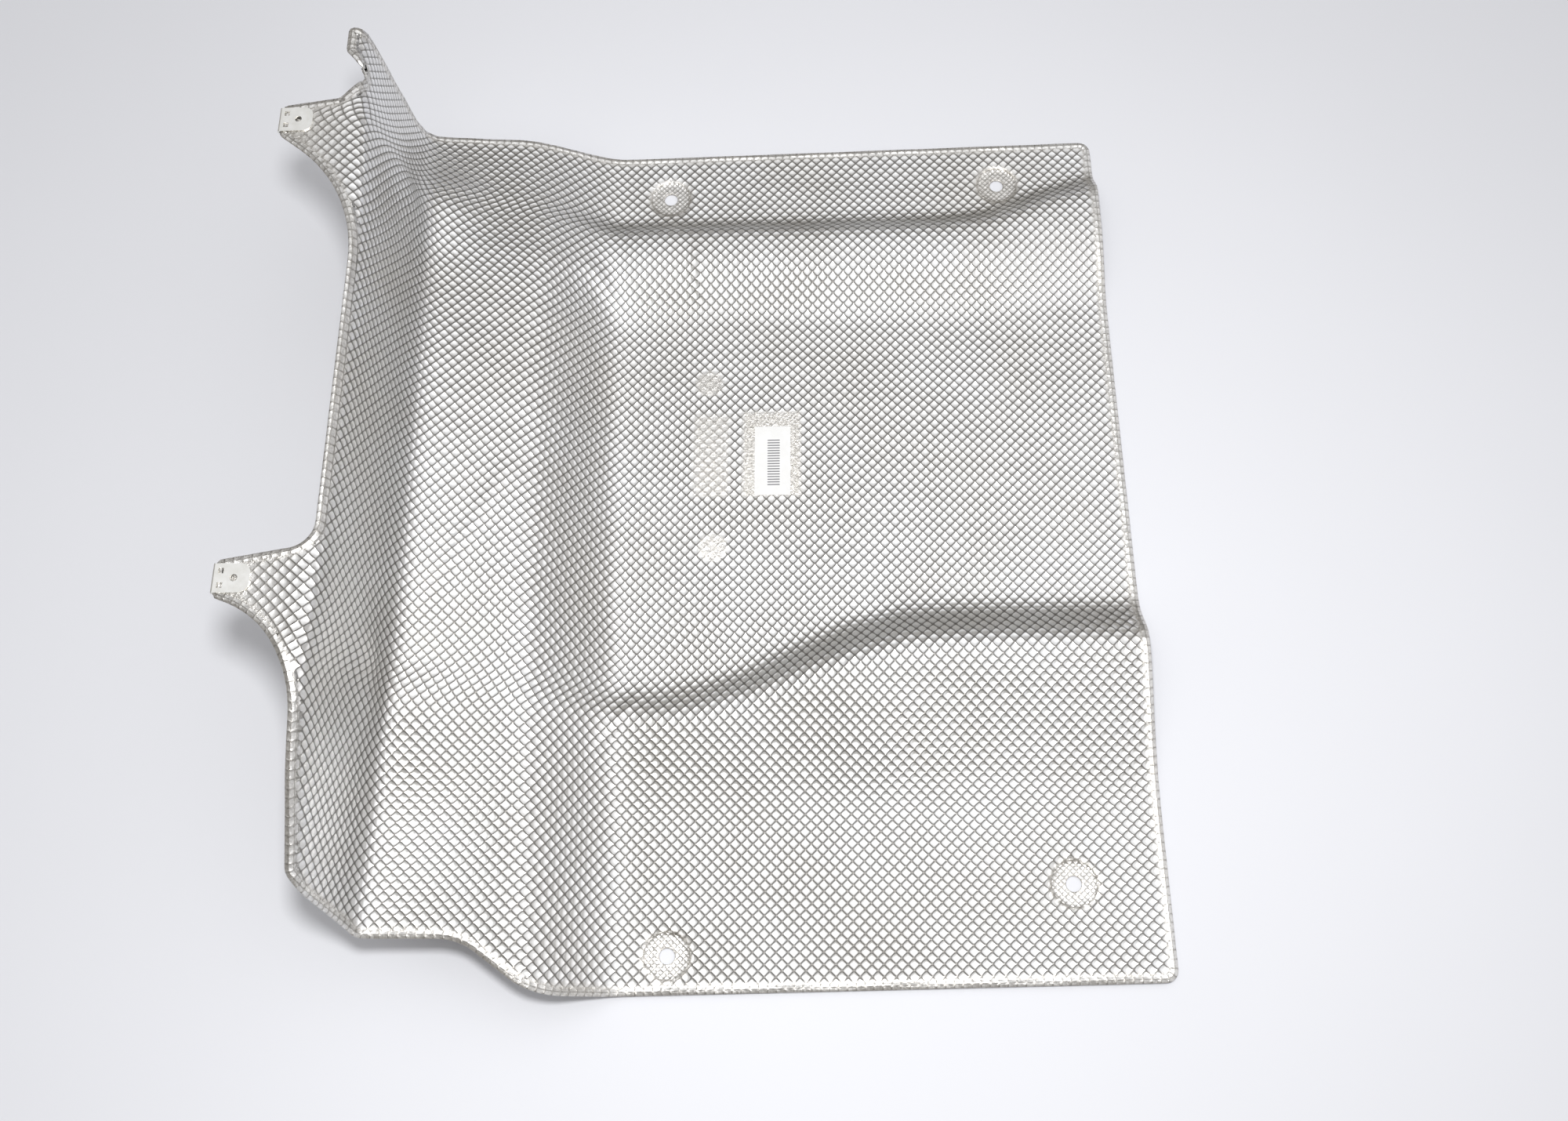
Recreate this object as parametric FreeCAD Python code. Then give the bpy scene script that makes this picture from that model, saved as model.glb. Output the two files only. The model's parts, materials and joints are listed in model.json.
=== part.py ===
import FreeCAD, Part
import math
import os

# Heat shield: one pressed and hemmed aluminium skin, two spring nuts on its tabs, and a label.
# Plan axes: x to the right, y from the front edge to the back edge, z up from the flat panel's top.
# Everything is moved at the end so that the origin is the bottom centre of the part's box.

vector = FreeCAD.Vector
up = vector(0, 0, 1)

# Skin
sheet = 1.0             # gauge of the skin
hem_width = 6.0         # how far the folded edge reaches back under the skin
cut_reach = 50.0        # how far upright cutters reach past the skin
skin_margin = 26.0      # how far the pressed skin runs past the outline before it is cut to it

# Flat panel
front_right_x = 194.0
front_right_y = 8.0
back_right_x = 184.0
back_right_y = 591.0
corner_radius = 8.0

# Wing front edge, from the corner of the outer wall to the panel's front edge
wing_corner_x = -279.0
wing_corner_y = 31.0
shelf_end_x = -222.0
panel_front_left_x = -179.0
wing_front_radius = 38.0
panel_front_radius = 50.0
rim_front_x = -302.0
rim_front_y = 60.0
rim_corner_radius = 7.0

# Rim, tabs and horn on the left
rim_edge_x = -290.0     # edge of the lip between the tabs
rim_height = 148.0      # level of the lip and both tabs
tab_end_x = -342.0
rear_tab_y = 514.0      # middle of the rear tab
front_tab_y = 213.0     # middle of the front tab
tab_width = 22.0
tab_corner_radius = 3.0
rear_flare = 40.0       # how far in front of the tab's edge its flare points at the rim
rear_flare_radius = 100.0
front_flare = 17.0
front_flare_radius = 62.0
tab_root_radius = 16.0
rear_tab_splay = 5.0    # how much further back the rear tab's back edge is at its root
front_tab_splay = 9.0   # the same for the front tab
front_rim_jog = 2.0     # how far the lip in front of the front tab stands out
horn_x = -307.0
horn_y = 584.0
horn_length = 18.0
scallop_x = -291.0
scallop_y = 549.0
scallop_radius = 9.0

# Stud holes in dished discs: x and y of each
stud_holes = [(-118.0, 552.0), (116.0, 557.0), (137.0, 65.0), (-106.0, 24.0)]
stud_hole_radius = 4.7
disc_radius = 12.0
disc_slope = 4.0        # width of the sloped ring round a disc
disc_depth = 2.0        # how far a disc lies under the panel
disc_ledge = 0.25       # step where the sloped ring meets the panel's two faces

# Pressed ridges across the panel: height at the left and right ends
back_ridge_left = 15.0
back_ridge_right = 13.0
front_ridge_left = 9.0
front_ridge_right = 21.0

# Ridge height kept where it runs out at the foot of the wing, and half way up the inner wall
foot_ridge_share = 0.8
wall_ridge_share = 0.3

# Where a ridge's line swings from its left course to its right one
front_swing_start = -110.0
front_swing_end = 50.0
back_swing_start = 90.0
back_swing_end = 205.0
swing_divide_y = 330.0  # lines in front of this at the right edge follow the front ridge

# Local pressings on the wing: centre x and y, half sizes along x and y, and height
wing_swells = [(-272.0, 520.0, 32.0, 48.0, 16.0), (-262.0, 160.0, 26.0, 46.0, 12.0)]

# Spring nut
nut_length = 20.0
nut_width = 17.0
nut_gauge = 0.9
nut_play = 0.05         # clearance to the tab, above and below
nut_hole_radius = 2.1
nut_hole_inset = 11.0   # hole's distance from the tab's end
nut_end_radius = 6.0    # rounded inner end of the leaves
nut_barrel_radius = 3.4
nut_barrel_length = 4.0
nut_window = 3.2
nut_window_spacing = 8.4
nut_window_inset = 2.0
nut_corner_radius = 0.5
nut_reach = 10.0        # how far the nut's cutters reach past the tab
nut_seat_margin = 1.0   # bare tab left round the nut by the hem
tab_hole_radius = 3.6

# Label
label_x = -44.0
label_y = 344.0
label_width = 24.0
label_length = 50.0
label_gauge = 0.2
label_radius = 1.0

# Cross sections of the wing, from front to back. Along each section the skin leaves the panel
# at its foot, climbs to a knee, crosses a shelf to the root of the outer wall and ends at the rim.
# Columns: y, foot x, knee x, knee z, root x, root z, rim x, rim z
wing_sections = [
    (-30.0, -137.0, -180.0, 34.0, -281.0, 38.0, -297.0, 74.0),
    (50.0, -139.0, -185.0, 38.0, -279.0, 42.0, -296.0, 96.0),
    (120.0, -141.0, -188.0, 40.0, -276.0, 45.0, -290.0, 134.0),
    (165.0, -143.0, -190.0, 42.0, -273.0, 50.0, -286.0, rim_height),
    (240.0, -146.0, -192.0, 45.0, -269.0, 63.0, -284.0, rim_height),
    (360.0, -151.0, -194.0, 47.0, -268.0, 68.0, -284.0, rim_height),
    (480.0, -154.0, -195.0, 43.0, -274.0, 58.0, -286.0, rim_height),
    (584.0, -160.0, -214.0, 26.0, -291.0, 33.0, -297.0, rim_height),
    (625.0, -160.0, -216.0, 24.0, -292.0, 31.0, -298.0, rim_height),
]

# Ends of the pressed skin before it is cut
front_end_y = min(0.0, front_right_y) - skin_margin
back_end_y = max(back_right_y, horn_y) + skin_margin
right_end_x = max(front_right_x, back_right_x) + skin_margin
left_end_x = tab_end_x - skin_margin

# Lines across the skin, from front to back: y at the wing, y at the right edge,
# and the share of the front ridge's and of the back ridge's height on that line
cross_lines = [
    (front_end_y, front_end_y, 0.0, 0.0),
    (0.0, 5.0, 0.0, 0.0),
    (30.0, 35.0, 0.0, 0.0),
    (62.0, 66.0, 0.0, 0.0),
    (90.0, 98.0, 0.0, 0.0),
    (112.0, 128.0, 0.0, 0.0),
    (138.0, 168.0, 0.5, 0.0),
    (160.0, 203.0, 1.0, 0.0),
    (171.0, 219.0, 1.0, 0.0),
    (184.0, 235.0, 0.0, 0.0),
    (198.0, 250.0, 0.0, 0.0),
    (222.0, 278.0, 0.0, 0.0),
    (256.0, 310.0, 0.0, 0.0),
    (300.0, 345.0, 0.0, 0.0),
    (370.0, 398.0, 0.0, 0.0),
    (440.0, 447.0, 0.0, 0.0),
    (460.0, 474.0, 0.0, 0.06),
    (482.0, 503.0, 0.0, 0.9),
    (508.0, 543.0, 0.0, 1.0),
    (517.0, 556.0, 0.0, 1.0),
    (527.0, 569.0, 0.0, 0.0),
    (534.0, 578.0, 0.0, 0.0),
    (550.0, 588.0, 0.0, 0.0),
    (580.0, 604.0, 0.0, 0.0),
    (back_end_y, back_end_y, 0.0, 0.0),
]

# Lines along the flat panel, from right to left, and how far the last of them stands off the foot
panel_lines = [right_end_x, 182.0, 146.0, 110.0, 74.0, 38.0, 4.0, -28.0, -58.0, -86.0, -110.0]
foot_run_out = 12.0
bend_run = 17.0         # spacing of the lines beside a bend on the wing
outer_wall_lines = [0.33, 0.7]              # shares of the outer wall's height
lip_lines = [0.1, 0.25, 0.46, 0.71, 1.0]    # shares of the way from the rim to the skin's left end

# Facets of the skin: steps between two lines, across everywhere, along on the panel and on the wing
cross_steps = 2
panel_steps = 1
wing_steps = 2


def mix(start, end, share):
    return start + (end - start) * share


def smooth(start, end, value):
    share = min(1.0, max(0.0, (value - start) / (end - start)))
    return share * share * (3.0 - 2.0 * share)


def wing_section(y):
    rows = wing_sections
    for near, far in zip(rows, rows[1:]):
        if y <= far[0]:
            share = max(0.0, (y - near[0]) / (far[0] - near[0]))
            return [mix(a, b, share) for a, b in zip(near, far)][1:]
    return rows[-1][1:]


def swell(x, y):
    height = 0.0
    for centre_x, centre_y, half_x, half_y, rise in wing_swells:
        reach = math.hypot((x - centre_x) / half_x, (y - centre_y) / half_y)
        height += rise * (1.0 - smooth(0.0, 1.0, reach))
    return height


def panel_point(x, line):
    left_y, right_y, front_share, back_share = line
    if right_y < swing_divide_y:
        swing = smooth(front_swing_start, front_swing_end, x)
    else:
        swing = smooth(back_swing_start, back_swing_end, x)
    front_height = mix(front_ridge_left, front_ridge_right, smooth(front_swing_start, front_swing_end, x))
    back_height = mix(back_ridge_left, back_ridge_right, smooth(back_swing_start, back_swing_end, x))
    z = front_share * front_height + back_share * back_height
    return vector(x, mix(left_y, right_y, swing), z)


def control_line(line):
    y, right_y, front_share, back_share = line
    foot_x, knee_x, knee_z, root_x, root_z, rim_x, rim_z = wing_section(y)
    ridge = front_share * front_ridge_left + back_share * back_ridge_left
    shelf_slope = (root_z - knee_z) / (root_x - knee_x)
    points = [panel_point(x, line) for x in panel_lines]
    wing = [
        (foot_x + foot_run_out, ridge),
        (foot_x, foot_ridge_share * ridge),
        (mix(foot_x, knee_x, 0.5), mix(0.0, knee_z, 0.5) + wall_ridge_share * ridge),
        (knee_x, knee_z),
        (knee_x - bend_run, knee_z - bend_run * shelf_slope),
        (mix(knee_x, root_x, 0.5), mix(knee_z, root_z, 0.5)),
        (root_x + bend_run, root_z + bend_run * shelf_slope),
        (root_x, root_z),
    ]
    wing += [(mix(root_x, rim_x, share), mix(root_z, rim_z, share)) for share in outer_wall_lines]
    points += [vector(x, y, z + swell(x, y)) for x, z in wing]
    points.append(vector(rim_x, y, rim_z))
    points += [vector(mix(rim_x, left_end_x, share), y, rim_z) for share in lip_lines]
    return points


# Smooth surface that follows the control lines
def spline_surface(net):
    degree = 3
    counts = (len(net), len(net[0]))
    knots = [list(range(count - degree + 1)) for count in counts]
    multiples = [[degree + 1] + [1] * (count - degree - 1) + [degree + 1] for count in counts]
    surface = Part.BSplineSurface()
    surface.buildFromPolesMultsKnots(net, multiples[0], multiples[1], knots[0], knots[1],
                                     False, False, degree, degree)
    return surface


def steps(start, end, count):
    return [start + i / count for i in range((end - start) * count)]


# Rows of points on the surface, or at a depth under it: fine over the bends and wide on the panel
def skin_grid(surface, depth):
    last_cross = surface.NbUPoles - 3
    last_along = surface.NbVPoles - 3
    panel_end = len(panel_lines) - 2
    across = steps(0, last_cross, cross_steps) + [last_cross]
    along = steps(0, panel_end, panel_steps) + steps(panel_end, last_along, wing_steps) + [last_along]
    rows = []
    for u in across:
        normals = [surface.normal(u, v) for v in along]
        facing = [normal * math.copysign(1.0, normal.z) for normal in normals]
        rows.append([surface.value(u, v) - normal * depth for v, normal in zip(along, facing)])
    return rows


def facet(*corners):
    return Part.Face(Part.makePolygon(corners + corners[:1]))


# Flat facets between two lines of points
def band(near, far):
    facets = []
    for i in range(len(near) - 1):
        facets.append(facet(near[i], near[i + 1], far[i + 1]))
        facets.append(facet(near[i], far[i + 1], far[i]))
    return facets


# Solid layer of the skin between two depths
def layer(surface, top_depth, bottom_depth):
    top = skin_grid(surface, top_depth)
    bottom = skin_grid(surface, bottom_depth)
    facets = band(top[0], bottom[0]) + band(top[-1], bottom[-1])
    facets += band([row[0] for row in top], [row[0] for row in bottom])
    facets += band([row[-1] for row in top], [row[-1] for row in bottom])
    for rows in (top, bottom):
        for near, far in zip(rows, rows[1:]):
            facets += band(near, far)
    shell = Part.makeCompound(facets)
    shell.sewShape()
    solid = Part.makeSolid(shell.Shells[0])
    if solid.Volume < 0:
        solid.reverse()
    return solid


# Closed plan outline with a tangent arc at each corner: x, y and radius of each
def rounded_outline(corners):
    arcs = []
    for i, (x, y, radius) in enumerate(corners):
        corner = vector(x, y, 0)
        back = (vector(*corners[i - 1][:2], 0) - corner).normalize()
        ahead = (vector(*corners[(i + 1) % len(corners)][:2], 0) - corner).normalize()
        half_angle = back.getAngle(ahead) / 2.0
        tangent = radius / math.tan(half_angle)
        inward = (back + ahead).normalize()
        middle = corner + inward * (radius / math.sin(half_angle) - radius)
        arcs.append((corner + back * tangent, middle, corner + ahead * tangent))
    edges = []
    for i, (start, middle, end) in enumerate(arcs):
        edges.append(Part.Arc(start, middle, end).toShape())
        edges.append(Part.LineSegment(end, arcs[(i + 1) % len(arcs)][0]).toShape())
    return Part.Face(Part.Wire(edges))


def upright(face, bottom, top):
    return face.translated(vector(0, 0, bottom)).extrude(up * (top - bottom))


def shield_outline():
    half_tab = tab_width / 2.0
    return rounded_outline([
        (front_right_x, front_right_y, corner_radius),
        (back_right_x, back_right_y, corner_radius),
        (horn_x, horn_y, tab_corner_radius),
        (horn_x, horn_y - horn_length, tab_corner_radius),
        (scallop_x, scallop_y, scallop_radius),
        (horn_x, rear_tab_y + half_tab + rear_tab_splay, tab_corner_radius),
        (tab_end_x, rear_tab_y + half_tab, tab_corner_radius),
        (tab_end_x, rear_tab_y - half_tab, tab_corner_radius),
        (rim_edge_x, rear_tab_y - half_tab - rear_flare, rear_flare_radius),
        (rim_edge_x, front_tab_y + half_tab + front_tab_splay, tab_root_radius),
        (tab_end_x, front_tab_y + half_tab, tab_corner_radius),
        (tab_end_x, front_tab_y - half_tab, tab_corner_radius),
        (rim_edge_x - front_rim_jog, front_tab_y - half_tab - front_flare, front_flare_radius),
        (rim_front_x, rim_front_y, rim_corner_radius),
        (wing_corner_x, wing_corner_y, rim_corner_radius),
        (shelf_end_x, wing_corner_y, wing_front_radius),
        (panel_front_left_x, 0.0, panel_front_radius),
    ])


# Dished disc round a stud hole, turned about the hole's axis
def stud_disc(x, y):
    outer = disc_radius + disc_slope
    profile = [
        (stud_hole_radius, -disc_depth),
        (disc_radius, -disc_depth),
        (outer, -disc_ledge),
        (outer, disc_ledge - sheet),
        (disc_radius, -disc_depth - sheet),
        (stud_hole_radius, -disc_depth - sheet),
    ]
    points = [vector(r, 0, z) for r, z in profile]
    face = Part.Face(Part.makePolygon(points + points[:1]))
    disc = face.revolve(vector(0, 0, 0), up, 360.0)
    return disc.translated(vector(x, y, 0))


def nut_hole(tab_y, radius):
    foot = vector(tab_end_x + nut_hole_inset, tab_y, rim_height - nut_reach)
    return Part.makeCylinder(radius, 2.0 * nut_reach, foot)


def nut_seat(tab_y):
    width = nut_width + 2.0 * nut_seat_margin
    length = nut_length + nut_seat_margin + hem_width
    corner = vector(tab_end_x - hem_width, tab_y - width / 2.0, rim_height - nut_reach)
    return Part.makeBox(length, width, 2.0 * nut_reach, corner)


def shield_panel():
    surface = spline_surface([control_line(line) for line in cross_lines])
    outline = shield_outline()
    top = rim_height + cut_reach
    skin = layer(surface, 0.0, 2.0 * sheet).common(upright(outline, -cut_reach, top))
    inner = upright(outline.makeOffset2D(-hem_width), -cut_reach, top)
    for tab_y in (rear_tab_y, front_tab_y):
        inner = inner.fuse(nut_seat(tab_y))
    under = layer(surface, sheet, 3.0 * sheet).common(inner)
    panel = skin.cut(under)
    for x, y in stud_holes:
        blank = Part.makeCylinder(disc_radius + disc_slope, 2.0 * cut_reach, vector(x, y, -cut_reach))
        panel = panel.cut(blank).fuse(stud_disc(x, y))
    for tab_y in (rear_tab_y, front_tab_y):
        panel = panel.cut(nut_hole(tab_y, tab_hole_radius))
    return panel.removeSplitter()


def clip_nut(tab_y):
    gap = sheet + 2.0 * nut_play
    middle_z = rim_height - sheet / 2.0
    bend_x = tab_end_x - nut_play
    half = nut_width / 2.0

    def stadium(radius, length):
        bend = Part.makeCylinder(radius, nut_width, vector(bend_x, tab_y - half, middle_z), vector(0, 1, 0))
        leaves = Part.makeBox(length, nut_width, 2.0 * radius,
                              vector(bend_x, tab_y - half, middle_z - radius))
        return bend.fuse(leaves)

    nut = stadium(gap / 2.0 + nut_gauge, nut_length).cut(stadium(gap / 2.0, nut_length + nut_gauge))
    end_x = bend_x + nut_length
    start_x = bend_x - gap - nut_gauge
    plan = rounded_outline([
        (end_x, tab_y - half, nut_end_radius),
        (end_x, tab_y + half, nut_end_radius),
        (start_x, tab_y + half, nut_corner_radius),
        (start_x, tab_y - half, nut_corner_radius),
    ])
    nut = nut.common(upright(plan, rim_height - nut_reach, rim_height + nut_reach))
    hole_x = tab_end_x + nut_hole_inset
    leaf_bottom = middle_z - gap / 2.0 - nut_gauge
    barrel = Part.makeCylinder(nut_barrel_radius, nut_barrel_length + nut_gauge / 2.0,
                               vector(hole_x, tab_y, leaf_bottom - nut_barrel_length))
    nut = nut.fuse(barrel).cut(nut_hole(tab_y, nut_hole_radius))
    for side in (-0.5, 0.5):
        corner = vector(bend_x + nut_window_inset, tab_y + side * nut_window_spacing - nut_window / 2.0,
                        middle_z)
        nut = nut.cut(Part.makeBox(nut_window, nut_window, nut_reach, corner))
    return nut.removeSplitter()


def blank_label():
    half_width = label_width / 2.0
    half_length = label_length / 2.0
    plan = rounded_outline([
        (label_x + half_width, label_y - half_length, label_radius),
        (label_x + half_width, label_y + half_length, label_radius),
        (label_x - half_width, label_y + half_length, label_radius),
        (label_x - half_width, label_y - half_length, label_radius),
    ])
    return upright(plan, 0.0, label_gauge)


nodes = {
    "shield_panel": shield_panel(),
    "clip_nut_rear": clip_nut(rear_tab_y),
    "clip_nut_front": clip_nut(front_tab_y),
    "blank_label": blank_label(),
}
box = Part.makeCompound(list(nodes.values())).optimalBoundingBox(False, False)
origin = vector((box.XMin + box.XMax) / 2.0, (box.YMin + box.YMax) / 2.0, box.ZMin)
os.makedirs("parts", exist_ok=True)
for name, shape in nodes.items():
    placed = shape.translated(origin * -1.0)
    placed.exportStep("parts/" + name + ".step")
    print(name, placed.isValid(), len(placed.Solids), round(placed.Volume), placed.BoundBox)
print("datum", origin)
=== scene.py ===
import json
import math

import bpy
import numpy as np
from mathutils import Matrix, Vector
from mathutils.bvhtree import BVHTree


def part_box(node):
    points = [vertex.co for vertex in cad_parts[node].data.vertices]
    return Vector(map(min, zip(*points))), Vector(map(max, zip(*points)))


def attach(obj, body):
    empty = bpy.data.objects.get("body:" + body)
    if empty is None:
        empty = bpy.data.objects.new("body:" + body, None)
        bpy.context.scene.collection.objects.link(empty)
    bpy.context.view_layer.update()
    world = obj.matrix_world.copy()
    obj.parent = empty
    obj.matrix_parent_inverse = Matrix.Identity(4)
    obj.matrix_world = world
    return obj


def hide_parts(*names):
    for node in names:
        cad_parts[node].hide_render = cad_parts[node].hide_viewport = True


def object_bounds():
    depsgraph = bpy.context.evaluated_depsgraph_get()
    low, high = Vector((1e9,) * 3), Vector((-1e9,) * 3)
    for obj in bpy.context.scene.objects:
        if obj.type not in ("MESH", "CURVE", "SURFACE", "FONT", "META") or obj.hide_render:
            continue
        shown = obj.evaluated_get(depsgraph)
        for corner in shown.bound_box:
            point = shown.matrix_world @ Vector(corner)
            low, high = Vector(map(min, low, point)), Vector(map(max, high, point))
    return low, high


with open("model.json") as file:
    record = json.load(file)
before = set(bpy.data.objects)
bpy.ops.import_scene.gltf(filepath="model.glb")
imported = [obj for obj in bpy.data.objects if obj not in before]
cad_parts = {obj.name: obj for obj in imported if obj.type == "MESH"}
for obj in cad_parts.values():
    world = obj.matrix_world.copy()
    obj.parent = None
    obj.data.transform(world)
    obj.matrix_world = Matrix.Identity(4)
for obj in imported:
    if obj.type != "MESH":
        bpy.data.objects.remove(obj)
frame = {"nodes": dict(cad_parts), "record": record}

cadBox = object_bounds()
mounts = {mount["name"]: mount for mount in frame["record"]["mounts"]}
mm = 0.001
print("frame loaded")


# Pressed skin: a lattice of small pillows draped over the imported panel
skin = {
    "pitch": 5.0 * mm,            # pillow to pillow along the diagonal rows
    "pillowHeight": 0.36 * mm,
    "sheet": 1.0 * mm,
    "hemInset": 3.7 * mm,         # where the pillows stop short of the edge
    "rayStep": 0.5 * mm,
    "smoothPasses": 10,
    "fadeIn": 4.0 * mm,           # run over which pillows grow beside a flat area
    "waveHeight": 0.22 * mm,
    "waveLength": 85.0 * mm,
    "castFrom": 4.0 * mm,         # how far over the skin a cast begins, and how far it looks
    "castReach": 9.0 * mm,
    "rowMargin": 2.0 * mm,
    "holeMargin": 1.0 * mm,
    "holeLevel": 10.0 * mm,       # a hole takes only points this near its own height
    "leastPoints": 8,             # a row with fewer is left out
    "spareRows": 4,
    "runOnRows": 3,
}

# Rolled edge, as offsets from the sheet's edge: how far in, and how high over the skin
hem = {
    "spacing": 2.6 * mm,
    "profile": [(7.2, -0.55), (5.0, -0.3), (4.3, 0.02), (3.5, 0.27), (2.0, 0.3), (0.7, 0.16), (0.1, -0.35),
                (0.05, -1.1), (0.7, -1.8), (2.0, -2.0), (4.0, -2.0), (4.7, -1.7), (5.0, -1.0)],
    "stays": 0.5,
    "wobble": 0.22 * mm,
    "probe": 0.6 * mm,            # step inwards that finds the sheet's slope
    "followFrom": 1.5,            # rings further in than this lie on the skin
    "nutSeat": 0.45,              # how much of the fold is left under a nut
    "nutMargin": 1.5 * mm,
    "grain": (0.5, 0.4),          # crushed pillows to each step along the edge and to each ring
    "topFrom": 0.05,              # upward part of a face's normal on the top of the sheet
    "wallTo": 0.02,               # and on the wall of its edge
}

# Dished disc round a stud hole, as radius and height over the disc's underside
studDisc = {
    "segments": 56,
    "rim": 13.4 * mm,
    "stays": 0.45,
    "profile": [(4.7, 0.1), (4.7, 0.85), (4.95, 1.02), (6.4, 1.08), (8.0, 1.04), (9.6, 1.1), (11.2, 1.06),
                (12.4, 1.25), (13.3, 1.62), (14.2, 2.0), (14.5, 1.8), (14.2, 1.4), (13.2, 0.6), (12.0, 0.1),
                (8.0, 0.0), (4.9, 0.0)],
    "wobble": 0.16 * mm,
    "holeRim": 5.0,               # inside this radius the disc is smooth
    "grain": 1.3,                 # crushed pillows to each whole one, along both diagonals
}

tabHoleRadius = 3.6 * mm


# Packed panel as plain arrays, with shared corners joined
def panelArrays():
    mesh = frame["nodes"]["shield_panel"].data
    points = np.empty(len(mesh.vertices) * 3)
    mesh.vertices.foreach_get("co", points)
    points = points.reshape(-1, 3)
    mesh.calc_loop_triangles()
    corners = np.empty(len(mesh.loop_triangles) * 3, dtype=int)
    mesh.loop_triangles.foreach_get("vertices", corners)
    keys, joined = np.unique(np.round(points / 1e-6).astype(np.int64), axis=0, return_inverse=True)
    return keys * 1e-6, joined.reshape(-1)[corners].reshape(-1, 3)


panelPoints, panelTriangles = panelArrays()
panelTree = BVHTree.FromPolygons(panelPoints.tolist(), panelTriangles.tolist())
rayTop = cadBox[1][2] + 50.0 * mm
down = Vector((0, 0, -1))


def heightAt(x, y):
    hit = panelTree.ray_cast(Vector((x, y, rayTop)), down)[0]
    return hit.z if hit else float("nan")


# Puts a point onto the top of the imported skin, looking down its normal
def ontoSkin(point, normal):
    start = Vector(point) + Vector(normal) * skin["castFrom"]
    hit = panelTree.ray_cast(start, -Vector(normal), skin["castReach"])[0]
    return hit if hit else panelTree.find_nearest(Vector(point))[0]


def smoothStep(low, high, value):
    share = np.clip((value - low) / (high - low), 0.0, 1.0)
    return share * share * (3.0 - 2.0 * share)


# Chains of edges where the top of the sheet turns into an upright wall, joined on from the longest
def outerEdge():
    a, b, c = (panelPoints[panelTriangles[:, i]] for i in range(3))
    normals = np.cross(b - a, c - a)
    normals /= np.maximum(np.linalg.norm(normals, axis=1), 1e-12)[:, None]
    faceUp = normals[:, 2] > hem["topFrom"]
    upright = np.abs(normals[:, 2]) < hem["wallTo"]
    owners = {}
    for t, corners in enumerate(panelTriangles):
        for i in range(3):
            edge = (int(corners[i]), int(corners[(i + 1) % 3]))
            owners.setdefault(tuple(sorted(edge)), []).append((t, edge))
    follow = {}
    for pairs in owners.values():
        tops = [edge for t, edge in pairs if faceUp[t]]
        walls = [t for t, edge in pairs if upright[t]]
        if len(tops) == 1 and walls:
            follow.setdefault(tops[0][0], []).append(tops[0][1])
    chains = []
    while follow:
        chain = [next(iter(follow))]
        while chain[-1] in follow:
            ahead = follow[chain[-1]].pop()
            if not follow[chain[-1]]:
                del follow[chain[-1]]
            chain.append(ahead)
        chains.append(panelPoints[chain])
    loop = chains.pop(max(range(len(chains)), key=lambda i: len(chains[i])))
    while chains:
        gaps = [np.linalg.norm(chain[0] - loop[-1]) for chain in chains]
        nearest = int(np.argmin(gaps))
        if gaps[nearest] > np.linalg.norm(loop[0] - loop[-1]):
            break
        loop = np.vstack([loop, chains.pop(nearest)])
    return loop


def evenly(loop, spacing):
    closed = np.vstack([loop, loop[:1]])
    run = np.concatenate([[0.0], np.cumsum(np.linalg.norm(np.diff(closed, axis=0), axis=1))])
    count = int(run[-1] / spacing)
    places = np.arange(count) * run[-1] / count
    return np.stack([np.interp(places, run, closed[:, i]) for i in range(3)], axis=1)


edgeLoop = evenly(outerEdge(), hem["spacing"])
print("outer edge", len(edgeLoop), "points, ends", edgeLoop.min(axis=0), edgeLoop.max(axis=0))


# Distance to the outline in space, below nought outside it in plan, and the outline's nearest point
def insideOutline(points):
    start = edgeLoop
    run = np.roll(start, -1, axis=0) - start
    length = np.maximum((run * run).sum(axis=1), 1e-18)
    distance = np.empty(len(points))
    nearest = np.empty((len(points), 3))
    batch = 4000
    for low in range(0, len(points), batch):
        part = points[low:low + batch]
        offset = part[:, None, :] - start[None]
        share = np.clip((offset * run).sum(axis=2) / length, 0.0, 1.0)
        foot = start[None] + share[..., None] * run[None]
        gap = np.linalg.norm(part[:, None, :] - foot, axis=2)
        best = gap.argmin(axis=1)
        rows = np.arange(len(part))
        endY = start[None, :, 1] + run[None, :, 1]
        crosses = (start[None, :, 1] > part[:, None, 1]) != (endY > part[:, None, 1])
        rise = np.where(np.abs(run[:, 1]) < 1e-12, 1e-12, run[:, 1])
        meetX = start[None, :, 0] + (part[:, None, 1] - start[None, :, 1]) / rise * run[None, :, 0]
        inside = (crosses & (part[:, None, 0] < meetX)).sum(axis=1) % 2 == 1
        distance[low:low + batch] = np.where(inside, gap[rows, best], -gap[rows, best])
        nearest[low:low + batch] = foot[rows, best]
    return distance, nearest


holes = [(mounts[name]["pos_m"], studDisc["rim"]) for name in mounts if name.startswith("stud")]
holes += [(mounts[name]["pos_m"], tabHoleRadius) for name in mounts if name.startswith("nut")]


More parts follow.
